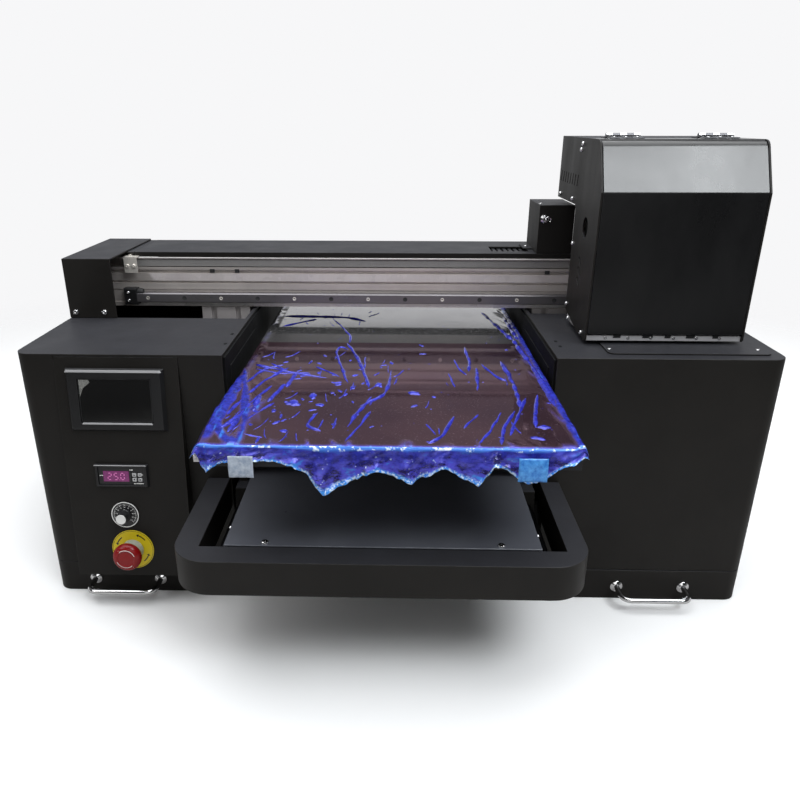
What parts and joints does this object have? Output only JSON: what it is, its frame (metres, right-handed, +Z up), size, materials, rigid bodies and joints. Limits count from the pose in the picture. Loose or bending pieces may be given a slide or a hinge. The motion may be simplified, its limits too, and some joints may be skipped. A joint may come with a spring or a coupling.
{
  "type": "flatbed uv printer",
  "caption": "Desktop flatbed printer: gantry beam with a side-parked print carriage over a travelling, lifting table between two black cabinets, with an operator console.",
  "frame": {"origin": "centre of the bounding box's footprint, on the worktop under the base pan", "axes": "+X to the operator's right, +Y away from the operator, +Z up"},
  "size_m": [1.022, 0.81, 0.6466],
  "materials": {
    "powder_coat": "fine textured black powder coat",
    "lid_satin": "satin black paint",
    "black_plastic": "matt moulded plastic",
    "screen_glass": "dark glossy touch glass",
    "grey_keys": "printed grey keys",
    "dial_face": "black dial with a white rim",
    "knob_white": "white cap on a black skirt",
    "safety_yellow": "yellow label disc",
    "collar_grey": "light grey collar",
    "safety_red": "glossy red",
    "zinc_steel": "zinc plated steel",
    "rail_steel": "ground rail steel",
    "motor_black": "black enamelled motor",
    "aluminium": "milled aluminium",
    "beam_aluminium": "brushed anodised extrusion",
    "table_aluminium": "black anodised plate",
    "dark_rail": "black oxide ground rail",
    "blue_film": "thin blue shipping film",
    "belt_rubber": "grey polyurethane toothed belt",
    "head_steel": "steel print head",
    "lamp_black": "black finned heatsink",
    "ink_plastic": "dark moulded ink vessels",
    "chrome": "polished chrome",
    "cap_rubber": "soft black cap"
  },
  "bodies": {
    "chassis": {"base_pan": "powder_coat", "left_cover": "powder_coat", "right_cover": "powder_coat", "service_hatch": "powder_coat", "left_guard": "powder_coat", "right_guard": "powder_coat", "control_console": "powder_coat", "hmi_bezel": "black_plastic", "hmi_screen": "screen_glass", "thermostat_body": "black_plastic", "dial_plate": "dial_face", "estop_label": "safety_yellow", "estop_collar": "collar_grey", "front_tray": "powder_coat", "bed_frame": "powder_coat", "bed_cover": "powder_coat", "y_rail_left": "dark_rail", "y_rail_right": "dark_rail", "y_motor": "motor_black", "upright_left": "aluminium", "upright_right": "aluminium", "x_beam": "beam_aluminium", "x_rail": "rail_steel", "x_belt": "belt_rubber", "x_motor": "motor_black", "gantry_end_cover": "powder_coat", "rear_top_cover": "powder_coat", "chain_box": "powder_coat", "cap_station_base": "black_plastic", "power_supply": "zinc_steel", "power_inlet": "black_plastic", "front_handle_left": "chrome", "front_handle_right": "chrome"},
    "x_carriage": {"carriage_side_left": "powder_coat", "carriage_side_right": "powder_coat", "carriage_rear_cover": "powder_coat", "carriage_plate": "aluminium", "print_head": "head_steel", "uv_lamp": "lamp_black", "ink_tanks": "ink_plastic", "lid_hinge_left": "zinc_steel", "lid_hinge_right": "zinc_steel"},
    "carriage_lid": {"carriage_lid": "lid_satin"},
    "y_carriage": {"y_saddle": "powder_coat", "lift_base": "powder_coat"},
    "lift_screw": {"lift_screw": "rail_steel"},
    "table": {"table_plate": "table_aluminium", "protective_film": "blue_film"},
    "y_screw": {"y_screw": "rail_steel"},
    "idler_pulley": {"idler_pulley": "aluminium"},
    "drive_pulley": {"drive_pulley": "aluminium"},
    "cap_sled": {"cap_sled": "cap_rubber"},
    "dial_knob": {"dial_knob": "knob_white"},
    "estop_plunger": {"estop_plunger": "black_plastic"},
    "estop_head": {"estop_head": "safety_red"},
    "power_switch": {"power_switch": "safety_red"},
    "thermostat_key_1": {"thermostat_key_1": "grey_keys"},
    "thermostat_key_2": {"thermostat_key_2": "grey_keys"},
    "thermostat_key_3": {"thermostat_key_3": "grey_keys"},
    "thermostat_key_4": {"thermostat_key_4": "grey_keys"}
  },
  "joints": [
    {"name": "x_axis", "type": "slide", "parent": "chassis", "child": "x_carriage", "axis": [1, 0, 0], "range_m": [-0.62, 0]},
    {"name": "lid_swing", "type": "hinge", "parent": "x_carriage", "child": "carriage_lid", "pos_m": [0.365, -0.049, 0.6436], "axis": [-1, 0, 0], "range_deg": [0, 100]},
    {"name": "y_axis", "type": "slide", "parent": "chassis", "child": "y_carriage", "axis": [0, 1, 0], "range_m": [-0.13, 0.32]},
    {"name": "table_lift", "type": "slide", "parent": "y_carriage", "child": "table", "axis": [0, 0, 1], "range_m": [-0.04, 0.03]},
    {"name": "lift_screw_spin", "type": "hinge", "parent": "y_carriage", "child": "lift_screw", "pos_m": [-0.0065, -0.099, 0.25], "axis": [0, 0, 1], "continuous": true},
    {"name": "y_screw_spin", "type": "hinge", "parent": "chassis", "child": "y_screw", "pos_m": [-0.015, -0.017, 0.1635], "axis": [0, 1, 0], "continuous": true},
    {"name": "idler_spin", "type": "hinge", "parent": "chassis", "child": "idler_pulley", "pos_m": [-0.44, 0.0753, 0.448], "axis": [0, 0, 1], "continuous": true},
    {"name": "drive_spin", "type": "hinge", "parent": "chassis", "child": "drive_pulley", "pos_m": [0.47, 0.0753, 0.448], "axis": [0, 0, 1], "continuous": true},
    {"name": "cap_lift", "type": "slide", "parent": "chassis", "child": "cap_sled", "axis": [0, 0, 1], "range_m": [0, 0.008]},
    {"name": "dial_turn", "type": "hinge", "parent": "chassis", "child": "dial_knob", "pos_m": [-0.3808, -0.2196, 0.1456], "axis": [0, -0.9952, 0.098], "range_deg": [-140, 140]},
    {"name": "estop_press", "type": "slide", "parent": "chassis", "child": "estop_plunger", "axis": [0, 0.9952, -0.098], "range_m": [0, 0.005], "stiffness_N_per_m": 2500},
    {"name": "estop_twist", "type": "hinge", "parent": "estop_plunger", "child": "estop_head", "pos_m": [-0.3747, -0.22491, 0.0917], "axis": [0, -0.9952, 0.098], "range_deg": [-35, 0], "stiffness_Nm_per_rad": 0.3},
    {"name": "key_1_press", "type": "slide", "parent": "chassis", "child": "thermostat_key_1", "axis": [0, 0.9952, -0.098], "range_m": [0, 0.0008], "stiffness_N_per_m": 600},
    {"name": "key_2_press", "type": "slide", "parent": "chassis", "child": "thermostat_key_2", "axis": [0, 0.9952, -0.098], "range_m": [0, 0.0008], "stiffness_N_per_m": 600},
    {"name": "key_3_press", "type": "slide", "parent": "chassis", "child": "thermostat_key_3", "axis": [0, 0.9952, -0.098], "range_m": [0, 0.0008], "stiffness_N_per_m": 600},
    {"name": "key_4_press", "type": "slide", "parent": "chassis", "child": "thermostat_key_4", "axis": [0, 0.9952, -0.098], "range_m": [0, 0.0008], "stiffness_N_per_m": 600},
    {"name": "power_rocker", "type": "hinge", "parent": "chassis", "child": "power_switch", "pos_m": [-0.385, 0.396, 0.12], "axis": [-1, 0, 0], "range_deg": [0, 16]}
  ],
  "couplings": [
    {"joint": "lift_screw_spin", "follows": "table_lift", "rad_per_m": 785.4},
    {"joint": "y_screw_spin", "follows": "y_axis", "rad_per_m": 314.16},
    {"joint": "idler_spin", "follows": "x_axis", "rad_per_m": 113.64},
    {"joint": "drive_spin", "follows": "x_axis", "rad_per_m": 113.64}
  ]
}
